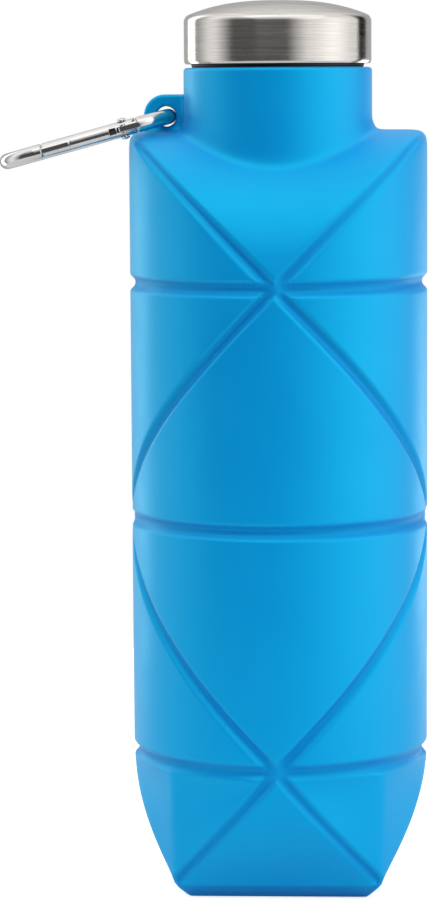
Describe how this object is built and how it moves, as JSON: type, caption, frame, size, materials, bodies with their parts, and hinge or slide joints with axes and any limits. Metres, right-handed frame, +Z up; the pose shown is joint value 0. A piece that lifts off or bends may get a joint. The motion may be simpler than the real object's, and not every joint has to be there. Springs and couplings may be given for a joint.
{
  "type": "collapsible water bottle",
  "caption": "Soft tall water bottle with crossing fold grooves, square foot, round neck, steel screw cap and a small snap hook on a side lug.",
  "frame": {"origin": "centre of the square underside, on the surface the bottle stands on", "axes": "+Z up the bottle's axis towards the cap; -X towards the lug and the snap hook; -Y towards the pictured front"},
  "size_m": [0.1105, 0.0768, 0.2291],
  "materials": {
    "silicone": "matt moulded silicone",
    "black_plastic": "moulded polypropylene",
    "steel": "fine brushed stainless sheet",
    "seal_rubber": "smooth food-grade silicone",
    "chrome": "bright plated steel wire",
    "spring_steel": "bare drawn spring wire"
  },
  "bodies": {
    "base": {"base_section": "silicone", "lower_fold_section": "silicone"},
    "middle": {"upper_fold_section": "silicone"},
    "top": {"shoulder_and_neck": "silicone", "neck_thread_ring": "black_plastic"},
    "cap_lifter": {"cap_seal": "seal_rubber"},
    "cap": {"cap_shell": "steel", "cap_liner": "black_plastic"},
    "hook": {"carabiner_frame": "chrome", "gate_rivet": "chrome"},
    "gate": {"carabiner_gate": "chrome", "gate_plunger": "spring_steel", "gate_spring": "spring_steel"}
  },
  "joints": [
    {"name": "lower_fold", "type": "slide", "parent": "base", "child": "middle", "axis": [0, 0, -1], "range_m": [0, 0.054], "deforming": ["lower_fold_section"]},
    {"name": "upper_fold", "type": "slide", "parent": "middle", "child": "top", "axis": [0, 0, -1], "range_m": [0, 0.054], "deforming": ["upper_fold_section"]},
    {"name": "cap_lift", "type": "slide", "parent": "top", "child": "cap_lifter", "axis": [0, 0, 1], "range_m": [0, 0.0121]},
    {"name": "cap_turn", "type": "hinge", "parent": "cap_lifter", "child": "cap", "pos_m": [0, 0, 0.2133], "axis": [0, 0, 1], "range_deg": [0, 1080]},
    {"name": "carabiner_swing", "type": "hinge", "parent": "top", "child": "hook", "pos_m": [-0.0282, 0, 0.19965], "axis": [0, 1, 0], "range_deg": [0, 105]},
    {"name": "gate_open", "type": "hinge", "parent": "hook", "child": "gate", "pos_m": [-0.0392, -0.0095, 0.19666], "axis": [0.2617, 0, -0.9652], "range_deg": [0, 30], "stiffness_Nm_per_rad": 0.05, "springref_deg": -11.46}
  ],
  "couplings": [
    {"joint": "cap_lift", "follows": "cap_turn", "m_per_rad": 0.00063662}
  ]
}
